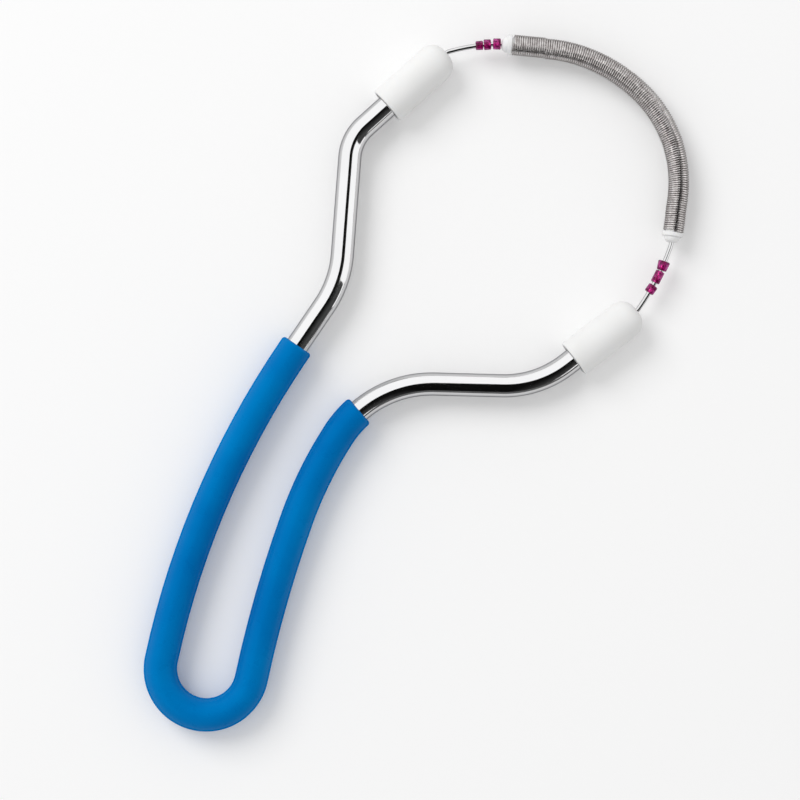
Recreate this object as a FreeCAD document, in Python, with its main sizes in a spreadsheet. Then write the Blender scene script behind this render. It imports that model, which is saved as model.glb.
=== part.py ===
import FreeCAD, Part
import math
import os
from collections import namedtuple

import Sketcher

# Spring tool for facial hair: a bent steel rod makes the frame, with a soft sleeve over its U-shaped
# handle and a white cap on each end. A core wire runs from one rod end to the other. It carries a
# close-wound coil spring between two plugs, with three small beads beside each plug.
#
# The tool lies flat. Every centreline is in one level plane, at the height of a cap's radius.
# Headings are in degrees, clockwise from +Y as seen from above, and a positive turn is to the right.

SIZES = [
    # The frame's rod, from its left end down the left arm, round the loop and up the right arm.
    ("rod_diameter", 4.0, "steel rod"),
    ("left_tip_length", 5.2, "straight from the shoulder bend to the cap's mouth"),
    ("left_shoulder_radius", 8.0, "centreline radius"),
    ("left_shoulder_turn", 43.6, "degrees"),
    ("left_arm_length", 17.0, "straight between the bends"),
    ("left_neck_radius", 18.3, "centreline radius"),
    ("left_neck_turn", 29.9, "degrees"),
    ("left_throat_length", 9.5, "straight above the handle"),
    ("left_handle_radius", 151.5, "long bow of the handle"),
    ("left_handle_turn", 22.2, "degrees"),
    ("loop_radius", 8.0, "centreline radius of the loop's half circle"),
    ("loop_turn", 180.0, "degrees"),
    ("right_handle_radius", 216.0, "long bow of the handle"),
    ("right_handle_turn", 7.7, "degrees"),
    ("right_waist_radius", 71.0, "tighter bow of the handle"),
    ("right_waist_turn", 13.1, "degrees"),
    ("right_neck_radius", 19.3, "centreline radius"),
    ("right_neck_turn", 58.6, "degrees"),
    ("right_arm_length", 11.7, "straight between the bends"),
    ("right_shoulder_radius", 17.6, "centreline radius"),
    ("right_shoulder_turn", 39.1, "degrees"),
    ("right_tip_length", 1.6, "straight from the shoulder bend to the cap's mouth"),
    ("rod_in_cap", 8.5, "rod length inside a cap"),
    ("wire_hole_depth", 6.0, "drilled in each rod end"),
    # The soft sleeve over the handle.
    ("sleeve_diameter", 5.8, "outside"),
    ("sleeve_clearance", 0.05, "round the rod"),
    ("sleeve_lip_radius", 0.55, "rounding of the outer edge at both ends"),
    ("sleeve_left_overrun", 1.2, "on the straight above the left handle"),
    ("sleeve_right_overrun", 16.5, "degrees into the right neck bend"),
    # The two end caps.
    ("cap_diameter", 6.8, "outside"),
    ("cap_length", 13.8, "mouth to tip"),
    ("cap_tip_radius", 2.6, "rounding of the tip"),
    ("cap_rim_radius", 0.25, "rounding of the mouth's outer edge"),
    ("cap_clearance", 0.05, "round the rod"),
    ("cap_mouth_diameter", 5.8, "flared mouth"),
    ("cap_mouth_depth", 2.4, "depth of the flare"),
    # The core wire and how it lies between the caps.
    ("wire_diameter", 0.8, "spring steel"),
    ("wire_clearance", 0.04, "round the wire in holes"),
    ("wire_exit", 0.35, "from a cap's tip to the wire's first corner"),
    ("wire_exit_radius", 1.2, "bend beside a cap"),
    ("wire_bend_reach", 0.45, "from a plug's nose to the corner of the bend beside it"),
    ("left_leg_bow", 12.0, "degrees that the wire turns between the left cap and plug"),
    ("right_leg_bow", 15.0, "degrees that the wire turns between the right plug and cap"),
    ("leg_end_straight", 0.2, "shortest straight at a leg's end"),
    ("crown_rise", 9.97, "spring's ends above the line between the caps"),
    ("crown_shift", -0.71, "spring's ends along that line"),
    ("crown_lean", -4.06, "degrees, spring's ends against that line"),
    ("shoulder_arc_length", 19.0, "first arc of the spring, from the left plug"),
    ("shoulder_arc_radius", 27.5, "centreline radius"),
    ("crown_arc_radius", 21.7, "centreline radius of the second arc"),
    # The coil spring and its plugs.
    ("coil_diameter", 3.6, "outside"),
    ("coil_wire", 0.39, "spring wire"),
    ("coil_turns", 130, "close-wound"),
    ("coil_flats", 14, "flats in one turn of the model"),
    ("coil_bore_sections", 36, "sections of the bore along the spring"),
    ("plug_clearance", 0.06, "round the shank in the coil"),
    ("plug_shank_length", 5.8, "inside the coil"),
    ("plug_flange_length", 0.7, "rim that the coil's end sits on"),
    ("plug_nose_diameter", 2.8, "domed nose"),
    ("plug_nose_length", 1.1, "domed nose"),
    ("plug_nose_rounding", 1.0, "domed nose"),
    # The beads.
    ("bead_bore", 1.1, "hole for the wire"),
    ("bead_rounding", 0.18, "edges"),
]

# Each bead, going away from the plug: diameters at its near and far ends, length, the gap before it
# and its tilt off the wire in degrees.
LEFT_BEADS = [(1.95, 1.90, 1.33, 0.15, 3.0), (1.80, 1.85, 1.25, 0.36, 1.5), (1.60, 1.55, 1.29, 0.14, 4.0)]
RIGHT_BEADS = [(2.10, 1.76, 1.65, 3.50, -5.0), (1.60, 1.58, 2.20, 0.20, 0.0), (1.70, 1.70, 1.50, 0.55, 6.0)]

doc = FreeCAD.newDocument("SpringTool")
sheet = doc.addObject("Spreadsheet::Sheet", "Sizes")
for row, (alias, value, note) in enumerate(SIZES, start=1):
    sheet.set(f"A{row}", note)
    sheet.set(f"B{row}", str(value))
    sheet.setAlias(f"B{row}", alias)
doc.recompute()


def size(alias):
    """Reads one size from the sheet."""
    return float(getattr(sheet, alias))


AXIS_HEIGHT = size("cap_diameter") / 2


# Centrelines: a pose is a point with a heading, and a run is one straight or one arc.

Pose = namedtuple("Pose", "x y heading")
Run = namedtuple("Run", "length radius turn length_cell radius_cell turn_cell")


def straight(length, cell=None):
    """A straight run. Its length may be bound to an expression."""
    return Run(length, None, 0.0, cell, None, None)


def straight_of(alias):
    """A straight run with its length from the sheet."""
    return straight(size(alias), f"Sizes.{alias}")


def arc(radius, turn, radius_cell=None, turn_cell=None):
    """An arc run. A positive turn is to the right."""
    return Run(radius * math.radians(abs(turn)), radius, turn, None, radius_cell, turn_cell)


def arc_of(radius_alias, turn_alias, side):
    """An arc run from the sheet; side is 1 to the right and -1 to the left."""
    turn = side * size(turn_alias)
    return arc(size(radius_alias), turn, f"Sizes.{radius_alias}", f"Sizes.{turn_alias} * 1 deg")


def direction(heading):
    """The unit step along a heading."""
    return math.sin(math.radians(heading)), math.cos(math.radians(heading))


def ahead(pose, distance):
    """The pose after a straight step."""
    dx, dy = direction(pose.heading)
    return Pose(pose.x + distance * dx, pose.y + distance * dy, pose.heading)


def arc_centre(pose, run):
    """The centre of an arc that starts at a pose."""
    side = math.copysign(run.radius, run.turn)
    dx, dy = direction(pose.heading + 90)
    return pose.x + side * dx, pose.y + side * dy


def after(pose, run, share=1.0):
    """The pose at a share of one run's length."""
    if run.radius is None:
        return ahead(pose, run.length * share)
    cx, cy = arc_centre(pose, run)
    heading = pose.heading + run.turn * share
    side = math.copysign(run.radius, run.turn)
    dx, dy = direction(heading + 90)
    return Pose(cx - side * dx, cy - side * dy, heading)


def pose_along(pose, runs, distance):
    """The pose at a distance along a chain of runs; past the last run it goes straight on."""
    for run in runs:
        if distance <= run.length:
            return after(pose, run, distance / run.length)
        pose = after(pose, run)
        distance -= run.length
    return ahead(pose, distance)


def chain_end(pose, runs):
    """The pose at the end of a chain of runs."""
    for run in runs:
        pose = after(pose, run)
    return pose


def heading_between(start, end):
    """The heading from one pose to another."""
    return math.degrees(math.atan2(end.x - start.x, end.y - start.y))


def distance_between(start, end):
    """The straight distance from one pose to another."""
    return math.hypot(end.x - start.x, end.y - start.y)


def place_path(pose):
    """Placement of a body whose path starts at its origin along +Y."""
    turn = FreeCAD.Rotation(FreeCAD.Vector(0, 0, 1), -pose.heading)
    return FreeCAD.Placement(FreeCAD.Vector(pose.x, pose.y, AXIS_HEIGHT), turn)


def place_round(pose):
    """Placement of a round body whose own axis is +Z, laid along the pose's heading."""
    lay = FreeCAD.Rotation(FreeCAD.Vector(1, 0, 0), -90)
    turn = FreeCAD.Rotation(FreeCAD.Vector(0, 0, 1), -pose.heading)
    return FreeCAD.Placement(FreeCAD.Vector(pose.x, pose.y, AXIS_HEIGHT), turn.multiply(lay))


# PartDesign helpers.

def new_body(label):
    """A body whose label names its file."""
    body = doc.addObject("PartDesign::Body", label)
    body.Label = label
    return body


def sketch_on(body, plane, name):
    """A sketch on one of the body's own origin planes."""
    sketch = body.newObject("Sketcher::SketchObject", name)
    origin_plane = [f for f in body.Origin.OriginFeatures if f.Role == plane][0]
    sketch.AttachmentSupport = [(origin_plane, "")]
    sketch.MapMode = "FlatFace"
    return sketch


def draw_chain(sketch, runs):
    """Draws a chain of tangent runs from the origin along +Y, and constrains every one."""
    pose = Pose(0.0, 0.0, 0.0)
    last_end = None
    for index, run in enumerate(runs):
        end = after(pose, run)
        if run.radius is None:
            line = Part.LineSegment(FreeCAD.Vector(pose.x, pose.y, 0), FreeCAD.Vector(end.x, end.y, 0))
            sketch.addGeometry(line)
            start_vertex, end_vertex = 1, 2
        else:
            cx, cy = arc_centre(pose, run)
            circle = Part.Circle(FreeCAD.Vector(cx, cy, 0), FreeCAD.Vector(0, 0, 1), run.radius)
            first, second = (end, pose) if run.turn > 0 else (pose, end)
            angles = [math.atan2(p.y - cy, p.x - cx) for p in (first, second)]
            sketch.addGeometry(Part.ArcOfCircle(circle, *angles))
            start_vertex, end_vertex = (2, 1) if run.turn > 0 else (1, 2)
        if last_end is None:
            sketch.addConstraint(Sketcher.Constraint("Coincident", index, start_vertex, -1, 1))
            if run.radius is None:
                sketch.addConstraint(Sketcher.Constraint("Vertical", index))
            else:
                sketch.addConstraint(Sketcher.Constraint("PointOnObject", index, 3, -1))
        else:
            sketch.addConstraint(Sketcher.Constraint("Tangent", index - 1, last_end, index, start_vertex))
        if run.radius is None:
            bind(sketch, Sketcher.Constraint("Distance", index, run.length), run.length_cell)
        else:
            bind(sketch, Sketcher.Constraint("Radius", index, run.radius), run.radius_cell)
            bind(sketch, Sketcher.Constraint("Angle", index, math.radians(abs(run.turn))), run.turn_cell)
        last_end = end_vertex
        pose = end


def bind(sketch, constraint, formula):
    """Adds a sketch constraint and ties it to the sheet where a formula is given."""
    number = sketch.addConstraint(constraint)
    if formula:
        sketch.setExpression(f"Constraints[{number}]", formula)


def draw_circle(sketch, formula, value):
    """Draws a circle round the sketch's origin with a bound diameter."""
    number = sketch.addGeometry(Part.Circle(FreeCAD.Vector(0, 0, 0), FreeCAD.Vector(0, 0, 1), value / 2))
    sketch.addConstraint(Sketcher.Constraint("Coincident", number, 3, -1, 1))
    bind(sketch, Sketcher.Constraint("Diameter", number, value), formula)


def pipe_body(label, runs, start, diameters):
    """A round bar or tube along a chain of runs; diameters are (formula, value) pairs."""
    body = new_body(label)
    path = sketch_on(body, "XY_Plane", f"{label}_path")
    draw_chain(path, runs)
    section = sketch_on(body, "XZ_Plane", f"{label}_section")
    for formula, value in diameters:
        draw_circle(section, formula, value)
    doc.recompute()
    pipe = body.newObject("PartDesign::AdditivePipe", f"{label}_pipe")
    pipe.Profile = section
    pipe.Spine = (path, [])
    body.Placement = place_path(start)
    doc.recompute()
    return body


def bored_cylinder(body, kind, radius, height, base="0"):
    """Adds or cuts a cylinder on the body's own axis; radius, height and base are formulas."""
    feature = body.newObject(f"PartDesign::{kind}Cylinder", f"{body.Label}_{kind}{len(body.Group)}")
    feature.setExpression("Radius", radius)
    feature.setExpression("Height", height)
    feature.setExpression("Placement.Base.z", base)
    doc.recompute()
    return feature


def round_edges(body, radius, wanted):
    """Fillets the tip feature's circular edges that a test picks."""
    base = body.Tip
    names = [f"Edge{i}" for i, edge in enumerate(base.Shape.Edges, start=1) if wanted(edge)]
    fillet = body.newObject("PartDesign::Fillet", f"{body.Label}_rounding{len(body.Group)}")
    fillet.Base = (base, names)
    fillet.setExpression("Radius", radius)
    doc.recompute()
    return fillet


def is_circle(edge, radius, height=None):
    """Tells whether an edge is a circle of a radius, at a height on the body's own axis."""
    if not isinstance(edge.Curve, Part.Circle) or abs(edge.Curve.Radius - radius) > 1e-6:
        return False
    return height is None or abs(edge.Curve.Center.z - height) < 1e-6


# The frame's rod.

def throat_runs():
    """The rod's centreline from its left end down to the top of the handle."""
    left_end = straight(size("rod_in_cap") + size("left_tip_length"),
                        "Sizes.rod_in_cap + Sizes.left_tip_length")
    return [
        left_end,
        arc_of("left_shoulder_radius", "left_shoulder_turn", -1),
        straight_of("left_arm_length"),
        arc_of("left_neck_radius", "left_neck_turn", 1),
        straight_of("left_throat_length"),
    ]


def rod_runs():
    """The rod's centreline from its left end to its right end."""
    right_end = straight(size("right_tip_length") + size("rod_in_cap"),
                         "Sizes.right_tip_length + Sizes.rod_in_cap")
    return throat_runs() + [
        arc_of("left_handle_radius", "left_handle_turn", -1),
        arc_of("loop_radius", "loop_turn", -1),
        arc_of("right_handle_radius", "right_handle_turn", 1),
        arc_of("right_waist_radius", "right_waist_turn", 1),
        arc_of("right_neck_radius", "right_neck_turn", 1),
        straight_of("right_arm_length"),
        arc_of("right_shoulder_radius", "right_shoulder_turn", -1),
        right_end,
    ]


ROD_RUNS = rod_runs()
ROD_START = Pose(0.0, 0.0, 180.0)
ROD_END = chain_end(ROD_START, ROD_RUNS)

frame_rod = pipe_body("frame_rod", ROD_RUNS, ROD_START, [("Sizes.rod_diameter", size("rod_diameter"))])


def drill_wire_hole(body, end, name):
    """Drills the blind hole for the core wire; end is the rod end's pose, pointing out of the rod."""
    hole = body.newObject("PartDesign::SubtractiveCylinder", name)
    hole.setExpression("Radius", "Sizes.wire_diameter / 2 + Sizes.wire_clearance")
    hole.setExpression("Height", "Sizes.wire_hole_depth")
    bottom = ahead(end, -size("wire_hole_depth"))
    hole.Placement = body.Placement.inverse().multiply(place_round(bottom))
    doc.recompute()


LEFT_OUT = Pose(ROD_START.x, ROD_START.y, ROD_START.heading - 180)
drill_wire_hole(frame_rod, LEFT_OUT, "left_wire_hole")
drill_wire_hole(frame_rod, ROD_END, "right_wire_hole")


# The sleeve follows the rod from just above the left handle to the start of the right neck.

def sleeve_runs():
    """The part of the rod's centreline that the sleeve covers."""
    neck = arc(size("right_neck_radius"), size("sleeve_right_overrun"), "Sizes.right_neck_radius",
               "Sizes.sleeve_right_overrun * 1 deg")
    return [
        straight_of("sleeve_left_overrun"),
        arc_of("left_handle_radius", "left_handle_turn", -1),
        arc_of("loop_radius", "loop_turn", -1),
        arc_of("right_handle_radius", "right_handle_turn", 1),
        arc_of("right_waist_radius", "right_waist_turn", 1),
        neck,
    ]


throat_end = chain_end(ROD_START, throat_runs())
sleeve_start = ahead(throat_end, -size("sleeve_left_overrun"))
SLEEVE_BORE = size("rod_diameter") + 2 * size("sleeve_clearance")
grip_sleeve = pipe_body("grip_sleeve", sleeve_runs(), sleeve_start, [
    ("Sizes.sleeve_diameter", size("sleeve_diameter")),
    ("Sizes.rod_diameter + 2 * Sizes.sleeve_clearance", SLEEVE_BORE),
])


def is_sleeve_end(edge):
    """Picks the sleeve's two outer end circles."""
    if not isinstance(edge.Curve, Part.Circle) or abs(edge.Curve.Axis.z) > 1e-6:
        return False
    return abs(edge.Length - math.pi * size("sleeve_diameter")) < 1e-3


round_edges(grip_sleeve, "Sizes.sleeve_lip_radius", is_sleeve_end)


# The caps: a bored cylinder with a round tip, a flared mouth and a small hole for the wire.

def end_cap(label, rod_end):
    """One cap; rod_end is the rod end's pose, pointing out of the rod."""
    body = new_body(label)
    radius = size("cap_diameter") / 2
    bored_cylinder(body, "Additive", "Sizes.cap_diameter / 2", "Sizes.cap_length")
    round_edges(body, "Sizes.cap_tip_radius", lambda edge: is_circle(edge, radius, size("cap_length")))
    round_edges(body, "Sizes.cap_rim_radius", lambda edge: is_circle(edge, radius, 0))
    bored_cylinder(body, "Subtractive", "Sizes.rod_diameter / 2 + Sizes.cap_clearance",
                   "Sizes.rod_in_cap + Sizes.cap_clearance")
    flare = body.newObject("PartDesign::SubtractiveCone", f"{label}_flare")
    flare.setExpression("Radius1", "Sizes.cap_mouth_diameter / 2")
    flare.setExpression("Radius2", "Sizes.rod_diameter / 2 + Sizes.cap_clearance")
    flare.setExpression("Height", "Sizes.cap_mouth_depth")
    doc.recompute()
    bored_cylinder(body, "Subtractive", "Sizes.wire_diameter / 2 + Sizes.wire_clearance", "Sizes.cap_length")
    body.Placement = place_round(ahead(rod_end, -size("rod_in_cap")))
    return body


end_cap("end_cap_left", LEFT_OUT)
end_cap("end_cap_right", ROD_END)


# The core wire's route. It leaves each cap straight, bends towards the spring, runs on as a slightly
# bowed leg, bends again beside the plug, and follows the spring inside.

PLUG_OUTSIDE = size("plug_flange_length") + size("plug_nose_length")
COIL_LENGTH = size("coil_turns") * size("coil_wire")
CAP_BEYOND_ROD = size("cap_length") - size("rod_in_cap")


def crown_runs():
    """The wire from one plug's nose to the other's: straight in the plugs, and two arcs between."""
    in_plug = straight(PLUG_OUTSIDE + size("plug_shank_length"))
    shoulder = size("shoulder_arc_length")
    crown = COIL_LENGTH - 2 * size("plug_shank_length") - shoulder
    return [
        in_plug,
        arc(size("shoulder_arc_radius"), math.degrees(shoulder / size("shoulder_arc_radius"))),
        arc(size("crown_arc_radius"), math.degrees(crown / size("crown_arc_radius"))),
        in_plug,
    ]


def crown_start(corner_left, corner_right, runs):
    """The left nose's pose: the line between the noses lies at its rise, shift and lean over the caps."""
    flat = Pose(0.0, 0.0, 0.0)
    flat_end = chain_end(flat, runs)
    base_heading = heading_between(corner_left, corner_right)
    heading = base_heading + size("crown_lean") - heading_between(flat, flat_end)
    span = distance_between(flat, flat_end)
    middle = Pose((corner_left.x + corner_right.x) / 2, (corner_left.y + corner_right.y) / 2, base_heading)
    middle = ahead(middle, size("crown_shift"))
    middle = ahead(middle._replace(heading=base_heading - 90), size("crown_rise"))
    start = ahead(middle._replace(heading=base_heading + size("crown_lean")), -span / 2)
    return start._replace(heading=heading)


def rounded_corner(heading_in, heading_out, radius=None, reach=None):
    """The arc that rounds a corner, and how far it reaches along both sides."""
    turn = (heading_out - heading_in + 180) % 360 - 180
    if radius is None:
        radius = reach / math.tan(math.radians(abs(turn)) / 2)
    reach = radius * math.tan(math.radians(abs(turn)) / 2)
    return arc(radius, turn), reach


CORNER_LEFT = ahead(LEFT_OUT, CAP_BEYOND_ROD + size("wire_exit"))
CORNER_RIGHT = ahead(ROD_END, CAP_BEYOND_ROD + size("wire_exit"))
CROWN_RUNS = crown_runs()
LEFT_NOSE = crown_start(CORNER_LEFT, CORNER_RIGHT, CROWN_RUNS)
RIGHT_NOSE = chain_end(LEFT_NOSE, CROWN_RUNS)
BEND_LEFT = ahead(LEFT_NOSE, -size("wire_bend_reach"))
BEND_RIGHT = ahead(RIGHT_NOSE, size("wire_bend_reach"))


def bowed_leg(start, end, bow):
    """The headings at both ends of a leg that turns by a bow, and the reach of each of its two tangents."""
    half = distance_between(start, end) / 2 / math.cos(math.radians(bow) / 2)
    heading = heading_between(start, end)
    return heading - bow / 2, heading + bow / 2, half


def leg_runs(half, bow, start_cut, end_cut):
    """The runs of a leg between the arcs that cut its two ends: an arc between two straights."""
    reach = half - max(start_cut, end_cut) - size("leg_end_straight")
    bend = arc(reach / math.tan(math.radians(bow) / 2), bow)
    return [straight(half - reach - start_cut), bend, straight(half - reach - end_cut)]


def wire_runs():
    """The wire in three chains: up to the left plug's nose, the crown, and from the right nose on."""
    reach = size("wire_bend_reach")
    exit_radius = size("wire_exit_radius")
    inside = size("wire_hole_depth") - size("wire_clearance") + CAP_BEYOND_ROD + size("wire_exit")
    bow = size("left_leg_bow")
    heading_in, heading_out, half = bowed_leg(CORNER_LEFT, BEND_LEFT, bow)
    exit_left, cut = rounded_corner(LEFT_OUT.heading, heading_in, radius=exit_radius)
    bend_left, _ = rounded_corner(heading_out, LEFT_NOSE.heading, reach=reach)
    before = [straight(inside - cut), exit_left, *leg_runs(half, bow, cut, reach), bend_left]
    bow = size("right_leg_bow")
    heading_in, heading_out, half = bowed_leg(BEND_RIGHT, CORNER_RIGHT, bow)
    bend_right, _ = rounded_corner(RIGHT_NOSE.heading, heading_in, reach=reach)
    exit_right, cut = rounded_corner(heading_out, ROD_END.heading + 180, radius=exit_radius)
    beyond = [bend_right, *leg_runs(half, bow, reach, cut), exit_right, straight(inside - cut)]
    return before, CROWN_RUNS, beyond


wire_start = ahead(LEFT_OUT, -(size("wire_hole_depth") - size("wire_clearance")))
BEFORE, CROWN, BEYOND = wire_runs()
WIRE_RUNS = BEFORE + CROWN + BEYOND
LEFT_NOSE_AT = sum(run.length for run in BEFORE)
RIGHT_NOSE_AT = sum(run.length for run in BEFORE + CROWN)
pipe_body("core_wire", WIRE_RUNS, wire_start, [("Sizes.wire_diameter", size("wire_diameter"))])


# The plugs: a shank inside the coil, a rim at the coil's end and a domed nose.

def end_plug(label, coil_end):
    """One plug; coil_end is the pose at the coil's end face, pointing out of the coil."""
    body = new_body(label)
    shank = "Sizes.coil_diameter / 2 - Sizes.coil_wire - Sizes.plug_clearance"
    top = PLUG_OUTSIDE
    nose_radius = size("plug_nose_diameter") / 2
    bored_cylinder(body, "Additive", shank, "Sizes.plug_shank_length", "-Sizes.plug_shank_length")
    bored_cylinder(body, "Additive", "Sizes.coil_diameter / 2", "Sizes.plug_flange_length")
    bored_cylinder(body, "Additive", "Sizes.plug_nose_diameter / 2", "Sizes.plug_nose_length",
                   "Sizes.plug_flange_length")
    round_edges(body, "Sizes.plug_nose_rounding", lambda edge: is_circle(edge, nose_radius, top))
    bored_cylinder(body, "Subtractive", "Sizes.wire_diameter / 2 + Sizes.wire_clearance",
                   "Sizes.plug_shank_length + Sizes.plug_flange_length + Sizes.plug_nose_length",
                   "-Sizes.plug_shank_length")
    body.Placement = place_round(coil_end)
    return body


COIL_START = ahead(LEFT_NOSE, PLUG_OUTSIDE)
COIL_END = ahead(RIGHT_NOSE, -PLUG_OUTSIDE)
end_plug("end_plug_left", COIL_START._replace(heading=COIL_START.heading + 180))
end_plug("end_plug_right", COIL_END)


# The coil spring as one closed solid. Two helices are joined by narrow facets: the crest of each turn
# at the outside, and the groove between two turns, where round wires wound close touch at half depth.

FLATS = int(size("coil_flats"))
TURNS = int(size("coil_turns"))
WIRE = size("coil_wire")


def coil_point(distance, radius, angle):
    """A point on the coil, by distance along it, radius and angle round its axis."""
    pose = pose_along(COIL_START._replace(heading=LEFT_NOSE.heading), COIL_RUNS, distance)
    side_x, side_y = direction(pose.heading + 90)
    across = radius * math.cos(angle)
    up = radius * math.sin(angle)
    return FreeCAD.Vector(pose.x + across * side_x, pose.y + across * side_y, AXIS_HEIGHT + up)


def coil_runs():
    """The spring's own centreline: the crown's runs without what the plugs keep outside."""
    first, shoulder, crown, last = CROWN_RUNS
    in_coil = straight(size("plug_shank_length"))
    return [in_coil, shoulder, crown, in_coil]


COIL_RUNS = coil_runs()


def strip(first, second):
    """Triangles between two rows of point numbers of equal length."""
    triangles = []
    for k in range(len(first) - 1):
        triangles.append((first[k], second[k + 1], first[k + 1]))
        triangles.append((first[k], second[k], second[k + 1]))
    return [t for t in triangles if len(set(t)) == 3]


def coil_solid():
    """Builds the spring from its helical facets, a flat ring at each end and its bore."""
    points = []

    def add(distance, radius, angle):
        points.append(coil_point(distance, radius, angle))
        return len(points) - 1

    outside = size("coil_diameter") / 2
    steps = FLATS * (TURNS - 1)
    angle = 2 * math.pi / FLATS
    rise = WIRE / FLATS
    crest = [add(k * rise, outside, k * angle) for k in range(steps + FLATS + 1)]
    groove = [add(k * rise + WIRE / 2, outside - WIRE / 2, k * angle) for k in range(steps + 1)]
    start_ring = [crest[0]] + [add(0, outside, k * angle) for k in range(1, FLATS)] + [crest[0]]
    end_ring = [add(COIL_LENGTH, outside, k * angle) for k in range(FLATS)] + [crest[-1]]
    end_ring[0] = crest[-1]
    triangles = strip(start_ring, crest[:FLATS + 1])
    triangles += strip(crest[:steps + 1], groove)
    triangles += strip(groove, crest[FLATS:])
    triangles += strip(crest[steps:], end_ring)
    triangles.append((crest[0], groove[0], crest[FLATS]))
    triangles.append((crest[steps], crest[-1], groove[-1]))
    bore = []
    count = int(size("coil_bore_sections"))
    for section in range(count + 1):
        at = COIL_LENGTH * section / count
        ring = [add(at, outside - WIRE, k * angle) for k in range(FLATS)]
        bore.append(ring + ring[:1])
    triangles += strip(bore[0], start_ring)
    for one, two in zip(bore[:-1], bore[1:]):
        triangles += strip(two, one)
    triangles += strip(end_ring, bore[-1])
    skin = Part.Shape()
    skin.makeShapeFromMesh((points, triangles), 1e-5)
    return Part.Solid(Part.Shell(skin.Faces))


coil_spring = doc.addObject("Part::Feature", "coil_spring")
coil_spring.Label = "coil_spring"
coil_spring.Shape = coil_solid()


# The beads: short bored pieces of drawn tube, loose on the wire, so each hangs a little askew.

def bead(label, pose, near, far, length):
    """One bead; pose is the middle of its end nearest the plug."""
    body = new_body(label)
    blank = body.newObject("PartDesign::AdditiveCone", f"{label}_blank")
    blank.Radius1 = near / 2
    blank.Radius2 = far / 2
    blank.Height = length
    doc.recompute()
    round_edges(body, "Sizes.bead_rounding", lambda edge: isinstance(edge.Curve, Part.Circle))
    bored_cylinder(body, "Subtractive", "Sizes.bead_bore / 2", str(length))
    body.Placement = place_round(pose)


def thread_beads(side, nose_at, away, beads):
    """Threads the beads of one side on the wire; away is 1 along the wire and -1 against it."""
    reached = 0.0
    for number, (near, far, length, gap, tilt) in enumerate(beads, start=1):
        middle = pose_along(wire_start, WIRE_RUNS, nose_at + away * (reached + gap + length / 2))
        heading = middle.heading + tilt + (0 if away > 0 else 180)
        start = ahead(middle._replace(heading=heading), -length / 2)
        bead(f"bead_{side}_{number}", start, near, far, length)
        reached += gap + length


thread_beads("left", LEFT_NOSE_AT, -1, LEFT_BEADS)
thread_beads("right", RIGHT_NOSE_AT, 1, RIGHT_BEADS)


# Checks, then one file for each piece.

doc.recompute()
for item in doc.Objects:
    if "Invalid" in item.State or "Error" in item.State:
        raise RuntimeError(f"{item.Label} failed: {item.State}")

pieces = [item for item in doc.Objects if item.TypeId == "PartDesign::Body" or item is coil_spring]
for piece in pieces:
    if piece.Shape.isNull() or not piece.Shape.isValid():
        raise RuntimeError(f"{piece.Label} has no valid shape")

# The layout starts at the left rod end, so the finished tool is moved to have its origin in the middle.
outline = FreeCAD.BoundBox()
for piece in pieces:
    outline.add(piece.Shape.optimalBoundingBox(False, False))
middle = FreeCAD.Vector(outline.Center.x, outline.Center.y, 0)
for piece in pieces:
    piece.Placement.Base = piece.Placement.Base - middle
doc.recompute()

os.makedirs("parts", exist_ok=True)
print(f"Left rod end at {-middle.x:.3f}, {-middle.y:.3f}")
for piece in pieces:
    piece.Shape.exportStep(f"parts/{piece.Label}.step")
    box = piece.Shape.optimalBoundingBox(False, False)
    print(f"{piece.Label}: {piece.Shape.Volume:.3f} mm3, X {box.XMin:.2f} to {box.XMax:.2f}, "
          f"Y {box.YMin:.2f} to {box.YMax:.2f}, Z {box.ZMin:.2f} to {box.ZMax:.2f}")
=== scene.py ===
# %% [markdown]
# # A spring tool for facial hair
#
# This lesson dresses a small grooming tool. A bent steel rod makes its frame, a blue vinyl sleeve covers
# the handle, and a close-wound coil spring is bent between two white caps. Squeezing the frame bends the
# spring, and its turns open and close on fine hair.
#
# The solids come from the imported model. Each piece made here takes the place of one solid and stands
# exactly where it is, so that the looks and the physics agree. The first cell loads the solids.

# %% Load the frame
import math
from collections import namedtuple

import bmesh
import bpy
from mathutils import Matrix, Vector


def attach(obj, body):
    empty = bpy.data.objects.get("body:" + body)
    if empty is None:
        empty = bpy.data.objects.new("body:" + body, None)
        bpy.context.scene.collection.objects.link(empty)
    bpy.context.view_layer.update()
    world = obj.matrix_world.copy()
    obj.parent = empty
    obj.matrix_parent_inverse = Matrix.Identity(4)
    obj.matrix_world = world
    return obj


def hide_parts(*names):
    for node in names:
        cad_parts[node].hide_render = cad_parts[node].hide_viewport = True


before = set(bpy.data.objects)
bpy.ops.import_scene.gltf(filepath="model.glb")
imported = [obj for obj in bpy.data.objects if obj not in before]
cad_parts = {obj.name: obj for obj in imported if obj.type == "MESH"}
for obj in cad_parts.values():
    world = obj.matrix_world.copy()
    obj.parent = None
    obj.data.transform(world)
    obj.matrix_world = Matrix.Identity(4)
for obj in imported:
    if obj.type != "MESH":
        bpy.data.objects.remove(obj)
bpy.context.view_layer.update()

print("solids:", sorted(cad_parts))

# %% [markdown]
# ## The line that a piece follows
#
# The rod, the sleeve and the wire are straight stock, bent in one level plane. Such a line could be drawn
# freely as a Bezier curve, but a bending machine makes only straight lengths and round bends, and the
# line is exact when the script does the same. So a line is a chain of runs. A run is a length and a turn
# to the right in degrees, and it is straight where the turn is zero. A pose is a point that is reached
# and the heading there, in degrees clockwise from +Y. Sizes are in millimetres, and MM makes them metres.

# %% Poses and runs
MM = 0.001
Pose = namedtuple("Pose", "x y heading")
Run = namedtuple("Run", "length turn")


def arc(radius, turn):
    """An arc run from its radius and its turn in degrees."""
    return Run(radius * math.radians(abs(turn)), turn)


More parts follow.
